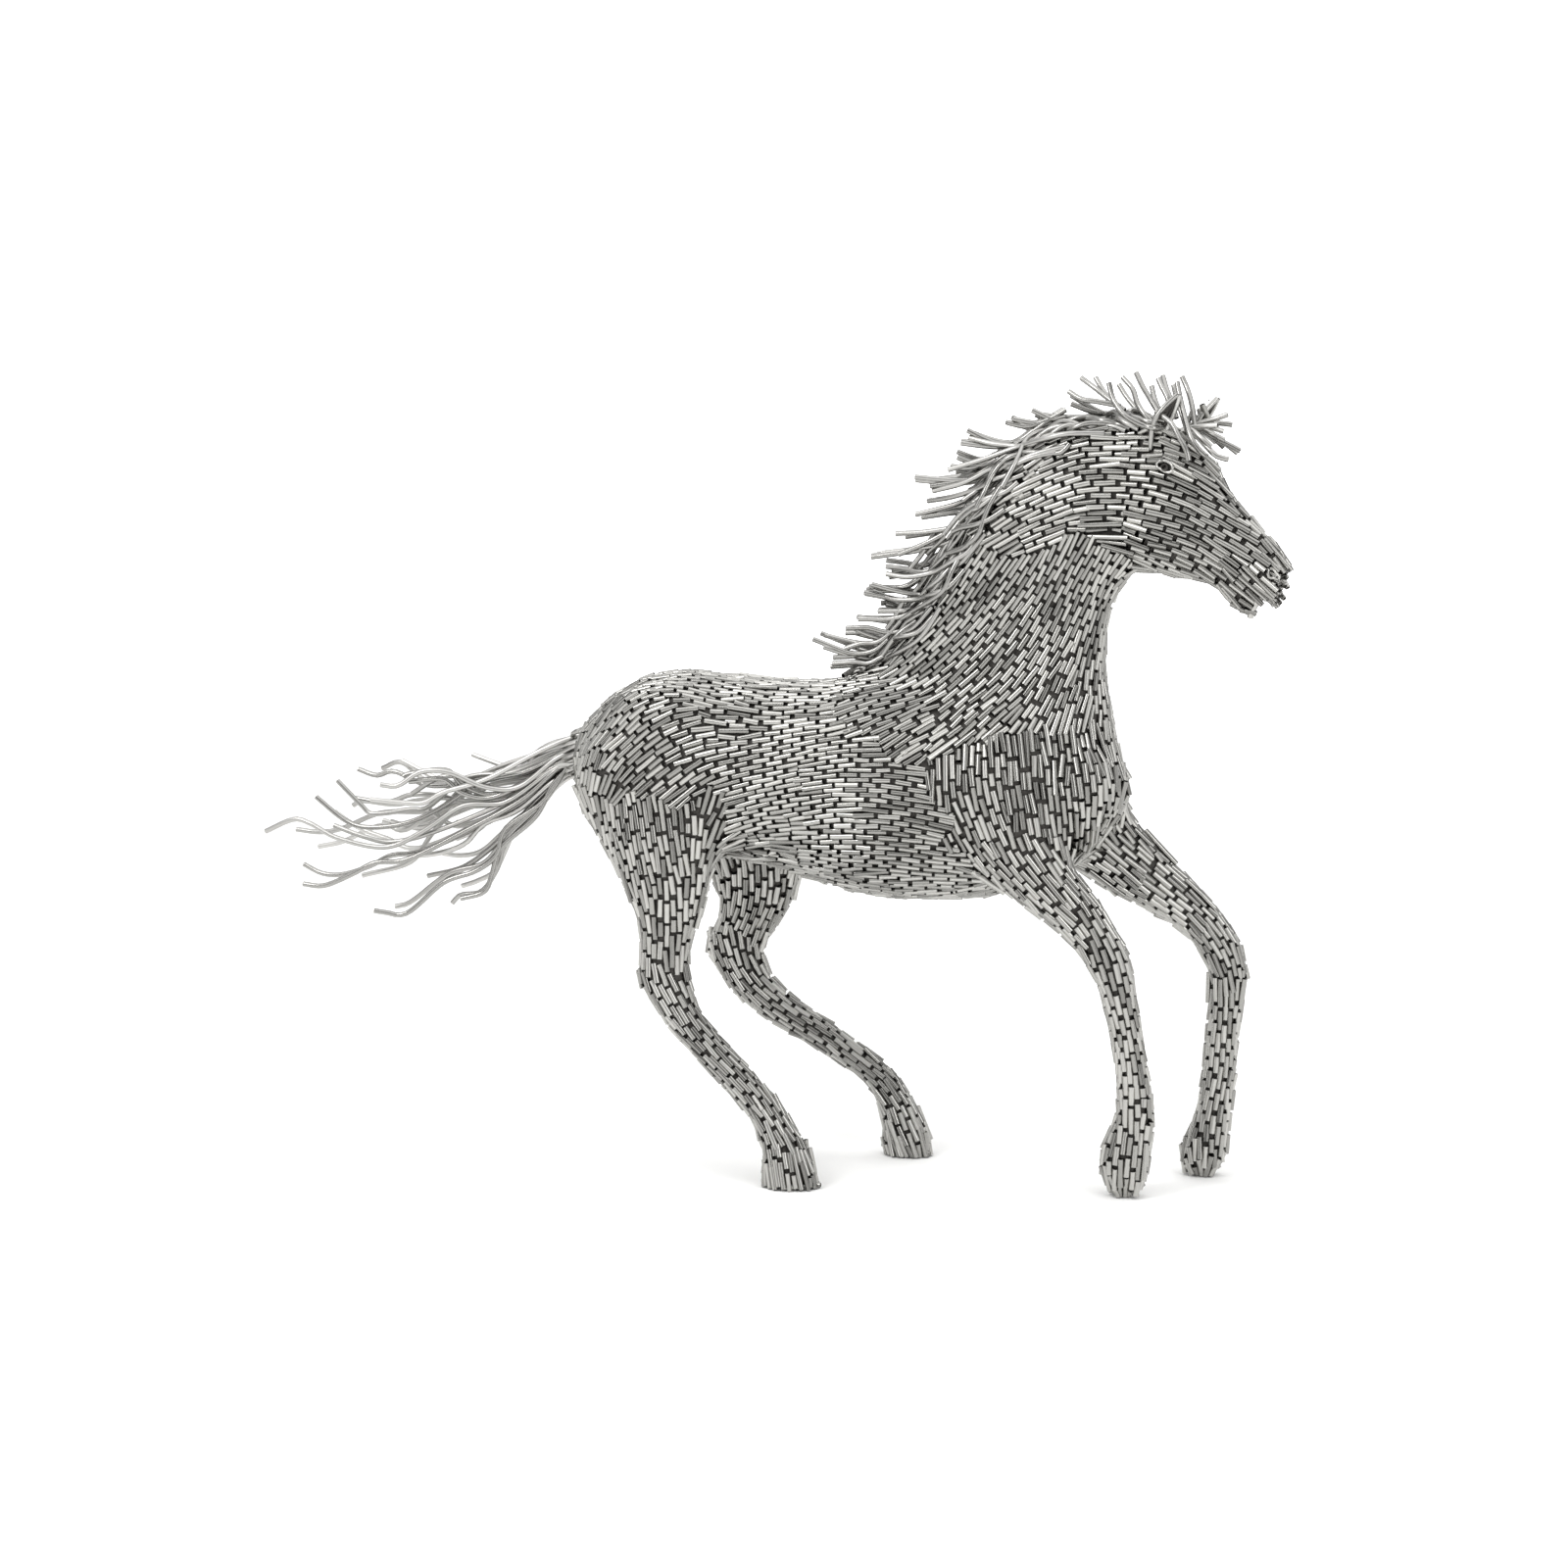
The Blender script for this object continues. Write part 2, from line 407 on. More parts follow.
# And on the near side, from left to right: a dim room with two tall soft lights in it
ROOM_BANDS = (
    (0, 0.45), (0.1, 0.2), (0.16, 0.9), (0.22, 0.9), (0.28, 0.17), (0.5, 0.15), (0.74, 0.17),
    (0.8, 0.7), (0.86, 0.7), (0.92, 0.2), (1, 0.45),
)
# The soft lamps: the name, the place, the size in metres and the power in watts
LAMPS = (("key", (-2.5, -4.5, 5), 2, 120), ("fill", (4.5, -4, 3), 2, 50))
LAMP_AIM = (0, 0, 1)
# The camera's place and aim, its sensor in millimetres, and its focal length and frame in pixels
CAMERA_PLACE = (1.683, -6.481, 1.55)
CAMERA_AIM = (0.0631, 0.015, 0.984)
SENSOR = 36
FOCAL_PIXELS = 2694
FRAME_PIXELS = 1600


def length_setting(name, description, default):
    return FloatProperty(name=name, description=description, default=default, unit="LENGTH")


class PipeSizes(bpy.types.PropertyGroup):
    """Sizes of the pipes and of how they are set side by side"""

    diameter: length_setting("Skin pipe", "Outer diameter of a skin pipe", 0.0134)
    wall: length_setting("Wall", "Thickness of a pipe's wall", 0.0013)
    pitch: length_setting("Row pitch", "From one row's middle to the next", 0.0131)
    length: length_setting("Pipe and gap", "Mean length of a pipe with the gap after it", 0.0575)
    gap: length_setting("End gap", "Mean gap between two pipes' ends", 0.0105)
    tilt: FloatProperty(
        name="Tilt", description="How far a pipe may lie out of true, in degrees", default=4.5
    )
    sides: IntProperty(name="Sides", description="Faces around a skin pipe", default=10)
    hair: length_setting("Hair pipe", "Outer diameter of a mane or tail pipe", 0.0135)


def linear(code):
    """An sRGB colour, given as hex digits, as the shader wants it."""
    parts = [int(code[place : place + 2], 16) / 255 for place in (0, 2, 4)]
    bent = [part / 12.92 if part <= 0.04045 else ((part + 0.055) / 1.055) ** 2.4 for part in parts]
    return (*bent, 1)


def colour_setting(name, description, code):
    return FloatVectorProperty(
        name=name, description=description, default=linear(code), size=4, subtype="COLOR",
        min=0, max=1,
    )


class SteelColours(bpy.types.PropertyGroup):
    """Colours of the steel and of the floor. Each pipe has a tone between a dark and a light one"""

    skin_dark: colour_setting("Skin, dark", "Darkest pipes of the skin", "757471")
    skin_light: colour_setting("Skin, light", "Lightest pipes of the skin", "bab9b5")
    hair_dark: colour_setting("Hair, dark", "Darkest bent pipes of the hair", "8d8c89")
    hair_light: colour_setting("Hair, light", "Lightest bent pipes of the hair", "c4c3c0")
    inner_dark: colour_setting("Inside, dark", "Soot on the steel inside the skin", "3a3836")
    inner_light: colour_setting("Inside, light", "Bare steel inside the skin", "64615d")
    floor: colour_setting("Floor", "Paper under the horse", "fefefd")


def deselect():
    bpy.ops.object.select_all(action="DESELECT")


def select_only(item):
    deselect()
    item.select_set(True)
    bpy.context.view_layer.objects.active = item


def new_object(name, data):
    item = bpy.data.objects.new(name, data)
    bpy.context.scene.collection.objects.link(item)
    return item


def apply_modifier(item, kind, **settings):
    """Run one modifier on a mesh and keep what it makes."""
    select_only(item)
    modifier = item.modifiers.new(kind.title(), kind)
    for name, value in settings.items():
        setattr(modifier, name, value)
    bpy.ops.object.modifier_apply(modifier=modifier.name)


def smooth(item):
    select_only(item)
    bpy.ops.object.shade_smooth_by_angle(angle=math.radians(50))


def numbers(elements, name, width=1, kind=np.float64):
    """One property of all of a mesh's corners, loops or faces."""
    values = np.empty(len(elements) * width, dtype=kind)
    elements.foreach_get(name, values)
    return values.reshape(-1, width) if width > 1 else values


def add_node(tree, kind, settings=None, values=None, links=None):
    """A node with its settings, its socket values and what feeds its sockets."""
    node = tree.nodes.new(kind)
    for name, value in (settings or {}).items():
        setattr(node, name, value)
    for name, value in (values or {}).items():
        node.inputs[name].default_value = value
    for name, source in (links or {}).items():
        tree.links.new(source, node.inputs[name])
    return node


def new_material(name):
    """A plain new material, with its node tree and its shader."""
    material = bpy.data.materials.new(name)
    material.use_nodes = True
    return material, material.node_tree, material.node_tree.nodes["Principled BSDF"]


def steel(name, dark, light, rough_low, rough_high):
    """Stainless tube with a brushed mill finish, a slightly different tone on each pipe."""
    material, tree, shader = new_material(name)
    tone = add_node(tree, "ShaderNodeAttribute", {"attribute_name": "pipe_tone"})
    place = add_node(tree, "ShaderNodeUVMap", {"uv_map": "UVMap"})
    # Fine drawing marks, which run the length of the tube and are about 0.8 mm apart
    stretched = add_node(
        tree, "ShaderNodeMapping", values={"Scale": (12, 1300, 1)},
        links={"Vector": place.outputs["UV"]},
    )
    marks = add_node(
        tree, "ShaderNodeTexNoise", values={"Scale": 1, "Detail": 3},
        links={"Vector": stretched.outputs["Vector"]},
    )
    mixed = add_node(
        tree, "ShaderNodeMath", {"operation": "MULTIPLY_ADD"}, {1: 0.25},
        {0: marks.outputs["Fac"], 2: tone.outputs["Fac"]},
    )
    colour = add_node(
        tree, "ShaderNodeMix", {"data_type": "RGBA"}, {6: dark, 7: light},
        {0: mixed.outputs[0]},
    )
    rough = add_node(
        tree, "ShaderNodeMapRange", values={3: rough_low, 4: rough_high},
        links={0: tone.outputs["Fac"]},
    )
    tree.links.new(colour.outputs[2], shader.inputs["Base Color"])
    tree.links.new(rough.outputs[0], shader.inputs["Roughness"])
    bump = add_node(
        tree, "ShaderNodeBump", values={"Strength": 0.25, "Distance": 0.0002},
        links={"Height": marks.outputs["Fac"]},
    )
    tree.links.new(bump.outputs["Normal"], shader.inputs["Normal"])
    shader.inputs["Metallic"].default_value = 1
    return material


def inner_steel(dark, light):
    """Unlit steel inside the skin and in the ears: dull, dark, with a little weld soot."""
    material, tree, shader = new_material(INNER_FINISH)
    place = add_node(tree, "ShaderNodeTexCoord")
    soot = add_node(
        tree, "ShaderNodeTexNoise", values={"Scale": 60, "Detail": 4},
        links={"Vector": place.outputs["Object"]},
    )
    colour = add_node(
        tree, "ShaderNodeMix", {"data_type": "RGBA"}, {6: dark, 7: light},
        {0: soot.outputs["Fac"]},
    )
    tree.links.new(colour.outputs[2], shader.inputs["Base Color"])
    shader.inputs["Metallic"].default_value = 0.6
    shader.inputs["Roughness"].default_value = 0.7
    return material


def copy_of_body(name):
    """The plain solid's own surface as a new mesh, merged, evened out and rounded."""
    item = new_object(name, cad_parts["horse_body"].data.copy())
    select_only(item)
    bpy.ops.object.mode_set(mode="EDIT")
    bpy.ops.mesh.select_all(action="SELECT")
    bpy.ops.mesh.remove_doubles(threshold=MERGE)
    bpy.ops.object.mode_set(mode="OBJECT")
    apply_modifier(item, "REMESH", mode="VOXEL", voxel_size=GUIDE_GRAIN)
    apply_modifier(item, "SMOOTH", factor=0.5, iterations=5)
    for x, z, reach, along, up in PUSHES:
        for corner in item.data.vertices:
            gap = math.hypot(corner.co.x - x, corner.co.z - z) / reach
            share = max(0, 1 - gap * gap)
            corner.co += Vector((along, 0, up)) * share
    return item


def solid_tree(node):
    """A finder of places on a plain solid."""
    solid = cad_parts[node].data
    return BVHTree.FromPolygons(
        [corner.co for corner in solid.vertices], [face.vertices for face in solid.polygons]
    )


def cast_through(tree, x, z, side):
    """The skin's outermost place at x and z on the right, -1, or the left, 1, if there is one."""
    hit, _, _, _ = tree.ray_cast(Vector((x, side * 2, z)), Vector((0, -side, 0)))
    return hit


def guide_strokes(tree):
    """Places and directions on the skin, with the number of the part that each leads."""
    strokes = []
    for number, flow in enumerate(FLOWS.values()):
        for x, z, angle in flow:
            lean = math.radians(angle)
            for side in (-1, 1):
                place = cast_through(tree, x, z, side)
                # Past the outline, a stroke stands beside the horse
                if place is None:
                    place = Vector((x, side * 0.1, z))
                strokes.append((*place, math.cos(lean), 0, math.sin(lean), number))
    for name, line in LEGS:
        for start, end in zip(line, line[1:]):
            a, b = Vector(start), Vector(end)
            along = (b - a).normalized()
            for share in (0, 0.33, 0.67):
                strokes.append((*a.lerp(b, share), *along, PARTS.index(name)))
    return np.array(strokes)


def flow_of(mesh, strokes):
    """For each face of a mesh: its part, and the way its rows run."""
    centres = numbers(mesh.polygons, "center", 3)
    normals = numbers(mesh.polygons, "normal", 3)
    gaps = np.linalg.norm(centres[:, None] - strokes[None, :, :3], axis=2)
    # Only strokes on the middle line of a leg lean sideways, and they lie inside it
    reach = gaps - np.where(strokes[:, 4] != 0, LEG_HALF, 0)[None]
    reach = np.maximum(reach, 0.001)
    part = strokes[np.argmin(reach, axis=1), 6].astype(int)
    weight = 1 / (reach + STROKE_FADE) ** 3
    weight *= part[:, None] == strokes[None, :, 6]
    # The strokes laid flat on each face, then the way that they agree on, whatever their sense
    lines = strokes[None, :, 3:6] - normals[:, None] * (normals @ strokes[:, 3:6].T)[:, :, None]
    tensors = np.einsum("fs,fsi,fsj->fij", weight, lines, lines)
    _, vectors = np.linalg.eigh(tensors)
    return part, vectors[:, :, 2]


class Row:
    """One row: places and normals, the room on both sides, its part and where its cuts start."""

    def __init__(self, spots, part, phase):
        self.spots = spots
        self.room = []
        self.part = part
        self.phase = phase

    def along(self, index):
        low, high = max(index - 1, 0), min(index + 1, len(self.spots) - 1)
        return (self.spots[high][0] - self.spots[low][0]).normalized()


class Rows:
    """Rows of places on the skin, a pitch apart, that follow the flow of each part."""

    def __init__(self, tree, part, flow, pitch, length):
        self.tree = tree
        self.part = part
        self.flow = [Vector(line) for line in flow]
        self.pitch = pitch
        self.length = length
        self.spacing = [pitch * CLOSENESS.get(name, 1) for name in PARTS]
        self.cells = {}
        self.rows = []
        self.room = ROOM[0]

    def cell(self, place):
        return tuple(math.floor(value / self.pitch) for value in place)

    def keep(self, spots):
        """Note a row's places, so that others keep clear of them."""
        for place, normal in spots:
            self.cells.setdefault(self.cell(place), []).append((place, normal))

    def clear(self, place, normal, distance):
        """True where no kept row is nearer than a distance."""
        for cell in product(*((n - 1, n, n + 1) for n in self.cell(place))):
            for other, facing in self.cells.get(cell, ()):
                if (other - place).length < distance and facing.dot(normal) > FACING_APART:
                    return False
        return True

    def walk(self, place, normal, face, along):
        """One half of a row, from its seed to where it meets another or leaves its part."""
        part = self.part[face]
        over = 0
        found = []
        while True:
            near, facing, index, _ = self.tree.find_nearest(place + along * STEP)
            if near is None or self.part[index] == BARE:
                break
            if self.part[index] == part:
                turned = self.flow[index]
                if turned.dot(along) < 0:
                    turned = -turned
                if turned.dot(along) < SHARPEST_TURN:
                    break
            else:
                turned = along
                over += 1
            if over > OVERRUN or facing.dot(normal) < SHARPEST_EDGE:
                break
            if not self.clear(near, facing, self.spacing[part] * min(CROWDING, self.room)):
                break
            turned = (turned - facing * turned.dot(facing)).normalized()
            place, normal, along = near, facing, turned
            found.append((place, normal))
        return found

    def grow(self, seed, parent=None, beside=0):
        """A whole row through a seed, or nothing if there is no room for a short pipe."""
        place, normal, face, _ = self.tree.find_nearest(seed)
        if place is None or self.part[face] == BARE:
            return None
        if not self.clear(place, normal, self.spacing[self.part[face]] * self.room):
            return None
        along = self.flow[face]
        if parent and along.dot(parent.along(beside)) < 0:
            along = -along
        behind = self.walk(place, normal, face, -along)
        spots = behind[::-1] + [(place, normal)] + self.walk(place, normal, face, along)
        if len(spots) * STEP < SHORTEST_ROW:
            return None
        phase = 0
        if parent:
            phase = len(behind) * STEP - (beside * STEP - parent.phase) + self.length / 2
        row = Row(spots, self.part[face], phase)
        self.keep(spots)
        self.rows.append(row)
        return row

    def fill(self, seeds, room):
        """Rows beside rows until there is no more of this much room, in pitches, on the skin."""
        self.room = room
        self.spread(list(self.rows))
        for seed in seeds:
            row = self.grow(seed)
            if row:
                self.spread([row])

    def spread(self, waiting):
        """New rows on both sides of each waiting row, then of the new ones."""
        while waiting:
            row = waiting.pop(0)
            for index in range(0, len(row.spots), 3):
                place, normal = row.spots[index]
                across = normal.cross(row.along(index)).normalized()
                # A seed lies just outside the ground that this row keeps clear
                gap = self.spacing[row.part] * (self.room + 0.02)
                for side in (-1, 1):
                    grown = self.grow(place + across * side * gap, row, index)
                    if grown:
                        waiting.append(grown)

    def ease(self, rounds):
        """Share out the room between each row and its neighbours on both sides."""
        for _ in range(rounds):
            spots = [(number, place) for number, row in enumerate(self.rows)
                     for place, _ in row.spots]
            finder = KDTree(len(spots))
            for index, (_, place) in enumerate(spots):
                finder.insert(place, index)
            finder.balance()
            for number, row in enumerate(self.rows):
                row.room = [self.sides(finder, spots, number, row, index)
                            for index in range(len(row.spots))]
            for row in self.rows:
                self.shift(row)
        self.cells = {}
        for row in self.rows:
            self.keep(row.spots)

    def sides(self, finder, spots, number, row, index):
        """How far the next row is on the left and on the right, or the reach if none is."""
        place, normal = row.spots[index]
        along = row.along(index)
        across = normal.cross(along).normalized()
        reach = self.pitch * EASE_REACH
        left = right = reach
        for other, found, _ in finder.find_range(place, reach):
            offset = other - place
            if (
                spots[found][0] == number
                or abs(offset.dot(along)) > self.pitch * EASE_ALONG
                or abs(offset.dot(normal)) > self.pitch * EASE_OFF
            ):
                continue
            beside = offset.dot(across)
            if beside > 0:
                left = min(left, beside)
            else:
                right = min(right, -beside)
        return left, right

    def shift(self, row):
        """Move a row sideways to the middle of its room, smoothly along its length."""
        limit = self.pitch * EASE_LIMIT
        pushes = [
            0 if left > limit or right > limit else (left - right) / 4
            for left, right in row.room
        ]
        moved = []
        for index, (place, normal) in enumerate(row.spots):
            near = pushes[max(index - 3, 0) : index + 4]
            push = sum(near) / len(near)
            across = normal.cross(row.along(index)).normalized()
            spot, facing, _, _ = self.tree.find_nearest(place + across * push)
            moved.append((spot, facing))
        row.spots = moved


def tube_model(name, sizes):
    """One pipe of unit length along X with its bore, as every skin pipe copies it."""
    deselect()
    bpy.ops.mesh.primitive_cylinder_add(
        vertices=sizes.sides, radius=sizes.diameter / 2, depth=1, end_fill_type="NOTHING",
        rotation=(0, math.pi / 2, 0),
    )
    item = bpy.context.active_object
    item.name = name
    bpy.ops.object.transform_apply(location=True, rotation=True, scale=True)
    apply_modifier(item, "SOLIDIFY", thickness=sizes.wall, offset=-1)
    return item


def mark(mesh, spots, tones):
    """Lay the drawing marks, by each loop's place in metres, and give each corner its tone."""
    layer = mesh.uv_layers.get("UVMap") or mesh.uv_layers.new(name="UVMap")
    layer.data.foreach_set("uv", spots.ravel())
    tone = mesh.attributes.new("pipe_tone", "FLOAT", "POINT")
    tone.data.foreach_set("value", tones)


def stamp(name, model, places, tones, radius):
    """Copies of one model at many places, as one mesh. A place is a 4 x 4 matrix."""
    corners = numbers(model.data.vertices, "co", 3)
    loops = numbers(model.data.loops, "vertex_index", kind=np.int32)
    starts = numbers(model.data.polygons, "loop_start", kind=np.int32)
    turns = np.array([[list(row) for row in place] for place in places])
    moved = np.einsum("kij,nj->kni", turns[:, :3, :3], corners) + turns[:, None, :3, 3]
    moved[:, :, 2] += np.maximum(0, LOWEST - moved[:, :, 2].min(axis=1))[:, None]
    shift = np.arange(len(places), dtype=np.int32)[:, None]
    mesh = bpy.data.meshes.new(name)
    for elements, key, values in (
        (mesh.vertices, "co", moved),
        (mesh.loops, "vertex_index", loops[None] + shift * len(corners)),
        (mesh.polygons, "loop_start", starts[None] + shift * len(loops)),
    ):
        elements.add(values.shape[0] * values.shape[1])
        elements.foreach_set(key, values.ravel())
    # Along the pipe and around it, in metres
    lengths = np.linalg.norm(turns[:, :3, 0], axis=1)
    along = corners[loops, 0][None] * lengths[:, None] + shift * SKIN_SHIFT
    around = np.arctan2(corners[loops, 2], corners[loops, 1]) * radius
    spots = np.stack([along, np.broadcast_to(around[None], along.shape)], axis=2)
    mark(mesh, spots, np.repeat(np.array(tones), len(corners)))
    mesh.update(calc_edges=True)
    mesh.validate()
    item = new_object(name, mesh)
    smooth(item)
    return item


def cut_row(row, sizes, chance):
    """Cut one row into pipes: each is its two ends, its middle, the normal and its width."""
    total = (len(row.spots) - 1) * STEP
    cuts = []
    spot = row.phase % sizes.length
    while spot < total:
        if sizes.length * END_CUT < spot < total - sizes.length * END_CUT:
            cuts.append(spot + chance.uniform(-STRAY_CUT, STRAY_CUT) * sizes.length)
        spot += sizes.length
    reaches = []
    for _ in range(2):
        proud = chance.random() < PROUD_SHARE
        reaches.append(chance.uniform(*(PROUD_REACH if proud else (END_REACH, END_REACH))))
    edges = [-reaches[0]] + cuts + [total + reaches[1]]
    pipes = []
    for start, end in zip(edges, edges[1:]):
        gap = sizes.gap * chance.uniform(*GAP_RANGE) / 2
        first = start + (gap if start > 0 else 0)
        last = end - (gap if end < total else 0)
        if last - first < SHORTEST_PIPE:
            continue
        a, _ = place_on(row.spots, first)
        b, _ = place_on(row.spots, last)
        middle, normal = place_on(row.spots, (first + last) / 2)
        low = max(0, int(first / STEP))
        rooms = row.room[low : max(low + 1, int(last / STEP))]
        width = sum(min(pair) for pair in rooms) / len(rooms)
        # A pipe that runs on over the next part lies on top of that part's pipes
        over = (start < -END_REACH, end > total + END_REACH)
        lift = Vector(normal) * PROUD_LIFT
        pipes.append((a + lift * over[0], b + lift * over[1], middle, normal, width))
    return pipes


def place_on(spots, distance):
    """A place and normal on a row at a distance from its start, or a little past its end."""
    reach = distance / STEP
    index = min(max(int(reach), 0), len(spots) - 2)
    share = reach - index
    place, normal = spots[index]
    next_place, next_normal = spots[index + 1]
    return place.lerp(next_place, share), normal.lerp(next_normal, share).normalized()


def lay_pipe(a, b, middle, normal, width, sizes, chance):
    """The matrix that puts the pipe model between two ends, its back on the skin."""
    along = b - a
    length = along.length
    along.normalize()
    out = (normal - along * normal.dot(along)).normalized()
    across = out.cross(along)
    centre = (a + b) / 2
    spot = centre.lerp(middle, BULGE) + normal * max(0, (centre - middle).dot(normal)) * BULGE
    girth = min(max(width / sizes.diameter * SNUG, GIRTH_LEAST), GIRTH_MOST)
    girth *= chance.uniform(*GIRTH_RANGE)
    depth = sizes.diameter * girth / 2 + chance.uniform(*DEPTH_RANGE)
    turn = Matrix((along * length, across * girth, out * girth)).transposed().to_4x4()
    lean = math.radians(sizes.tilt)
    tilt = Matrix.Rotation(chance.uniform(-lean, lean), 4, across)
    yaw = Matrix.Rotation(chance.uniform(-lean, lean) * 0.7, 4, out)
    spin = Matrix.Rotation(chance.uniform(0, math.pi), 4, "X")
    return Matrix.Translation(spot - out * depth) @ yaw @ tilt @ turn @ spin


def muzzle_ends(faces, part, sizes):
    """Places on the front of the muzzle for pipes seen end on. Rows keep clear of them."""
    aim = Vector(MUZZLE_AIM).normalized()
    found = []
    for index, face in enumerate(faces):
        if face.center.x < MUZZLE_X or face.normal.dot(aim) < MUZZLE_FACING:
            continue
        part[index] = BARE
        gap = sizes.diameter * MUZZLE_SPACING
        if all((face.center - other).length > gap for other in found):
            found.append(face.center.copy())
    return found


def end_on_pipe(spot, sizes, chance):
    """The matrix of a short pipe that points out of the muzzle with its open end."""
    aside = [chance.uniform(-MUZZLE_STRAY, MUZZLE_STRAY) for _ in range(3)]
    aim = (Vector(MUZZLE_AIM) + Vector(aside)).normalized()
    length = sizes.length * MUZZLE_LENGTH
    across = Vector((0, 1, 0)).cross(aim).normalized()
    turn = Matrix((aim * length, aim.cross(across), across)).transposed().to_4x4()
    depth = length / 2 - chance.uniform(*MUZZLE_OUT)
    return Matrix.Translation(spot - aim * depth) @ turn


def finish_piece(item, material, nodes=("horse_body",)):
    """Give a piece its material, its body and the plain solids that it stands for."""
    item.data.materials.clear()
    item.data.materials.append(material)
    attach(item, BODY)
    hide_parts(*nodes)


def clear_hollows(tree, faces, part):
    """Keep the rows out of the eyes and the nostrils."""
    for _, x, z, length, _, _ in HOLLOWS:
        for side in (-1, 1):
            middle = cast_through(tree, x, z, side)
            for index, face in enumerate(faces):
                if (face.center - middle).length < length * HOLLOW_CLEAR:
                    part[index] = BARE


def row_seeds(tree, faces):
    """Where rows may start: at the strokes of the flow, down the legs, then all over."""
    seeds = []
    for flow in FLOWS.values():
        for x, z, _ in flow:
            seeds += [cast_through(tree, x, z, side) for side in (-1, 1)]
    for _, line in LEGS:
        seeds += [Vector(place) for place in line]
    seeds += [faces[index].center.copy() for index in range(0, len(faces), SEED_EVERY)]
    return [seed for seed in seeds if seed is not None]


def lay_skin(rows, ends, model, material, sizes):
    """One piece of pipes for each part of the skin. The head's has the muzzle's pipes too."""
    chance = random.Random(11)
    groups = {}
    for row in rows:
        groups.setdefault(PARTS[row.part], []).append(row)
    total = 0
    for name, members in groups.items():
        places, tones = [], []
        for row in members:
            for pipe in cut_row(row, sizes, chance):
                places.append(lay_pipe(*pipe, sizes, chance))
                tones.append(chance.random())
        if name == "head":
            places += [end_on_pipe(spot, sizes, chance) for spot in ends]
            tones += [chance.random() for _ in ends]
        total += len(places)
        item = stamp("skin_" + name, model, places, tones, sizes.diameter / 2)
        finish_piece(item, material)
    print("skin pipes", total)


class HORSE_OT_skin(bpy.types.Operator):
    """Lay the short pipes of the skin in rows over the body"""

    bl_idname = "horse.skin"
    bl_label = "Skin pipes"

    def execute(self, context):
        sizes = context.scene.pipe_sizes
        colours = context.scene.steel_colours
        core = copy_of_body("skin_core")
        tree = BVHTree.FromObject(core, context.evaluated_depsgraph_get())
        part, flow = flow_of(core.data, guide_strokes(tree))
        faces = core.data.polygons
        ends = muzzle_ends(faces, part, sizes)
        clear_hollows(tree, faces, part)
        rows = Rows(tree, part, flow, sizes.pitch, sizes.length)
        seeds = row_seeds(tree, faces)
        for room, easings in zip(ROOM, EASINGS):
            rows.fill(seeds, room)
            rows.ease(easings)
        model = tube_model("pipe model", sizes)
        material = steel(SKIN_FINISH, colours.skin_dark, colours.skin_light, 0.16, 0.33)
        lay_skin(rows.rows, ends, model, material, sizes)
        bpy.data.objects.remove(model, do_unlink=True)
        # The surface that the rows were laid on becomes the dark one behind their gaps
        apply_modifier(core, "DISPLACE", strength=-CORE_DEPTH, mid_level=0)
        apply_modifier(core, "REMESH", mode="VOXEL", voxel_size=CORE_GRAIN)
        finish_piece(core, inner_steel(colours.inner_dark, colours.inner_light))
        return {"FINISHED"}


def curved(points, parts=6):
    """A smooth line through all of the points."""
    ends = [points[0] * 2 - points[1]] + list(points) + [points[-1] * 2 - points[-2]]
    line = []
    for a, b, c, d in zip(ends, ends[1:], ends[2:], ends[3:]):
        for part in range(parts):
            t = part / parts
            line.append(
                (b * 2 + (c - a) * t + (a * 2 - b * 5 + c * 4 - d) * t * t
                 + (b * 3 - a - c * 3 + d) * t * t * t) * 0.5
            )
    return line + [points[-1]]


def evenly(points, gap):
    """Points a fixed distance apart on a line of points, with both its ends."""
    lengths = [(b - a).length for a, b in zip(points, points[1:])]
    total = sum(lengths)
    count = max(3, round(total / gap))
    places = []
    walked, index = 0, 0
    for step in range(count):
        goal = total * step / count
        while walked + lengths[index] < goal:
            walked += lengths[index]
            index += 1
        places.append(points[index].lerp(points[index + 1], (goal - walked) / lengths[index]))
    return places + [points[-1]]


def bent_pipes(
    name, paths, diameter, wall, chance, resolution=2, step=BEND_STEP, lightest=1
):
    """Bent pipes with open ends along smooth lines, as one mesh, each with a tone of its own."""
    curve = bpy.data.curves.new(name, "CURVE")
    curve.dimensions = "3D"
    curve.bevel_depth = diameter / 2
    curve.bevel_resolution = resolution
    counts = []
    for path in paths:
        places = evenly(curved([Vector(place) for place in path]), step)
        spline = curve.splines.new("POLY")
        spline.points.add(len(places) - 1)
        for point, place in zip(spline.points, places):
            point.co = (*place, 1)
        counts.append(len(places))
    select_only(new_object(name, curve))
    bpy.ops.object.convert(target="MESH")
    item = bpy.context.active_object
    sides = 4 + 2 * resolution
    # Along each pipe and around it, in metres
    along = np.concatenate([np.arange(count) * step + number * HAIR_SHIFT
                            for number, count in enumerate(counts)])
    along = np.repeat(along, sides)
    around = np.tile(np.arange(sides) * math.pi * diameter / sides, sum(counts))
    tones = [np.full(count * sides, chance.uniform(0, lightest)) for count in counts]
    corners = numbers(item.data.loops, "vertex_index", kind=np.int32)
    spots = np.stack([along[corners], around[corners]], axis=1)
    mark(item.data, spots, np.concatenate(tones))
    apply_modifier(item, "SOLIDIFY", thickness=wall, offset=-1)
    smooth(item)
    return item


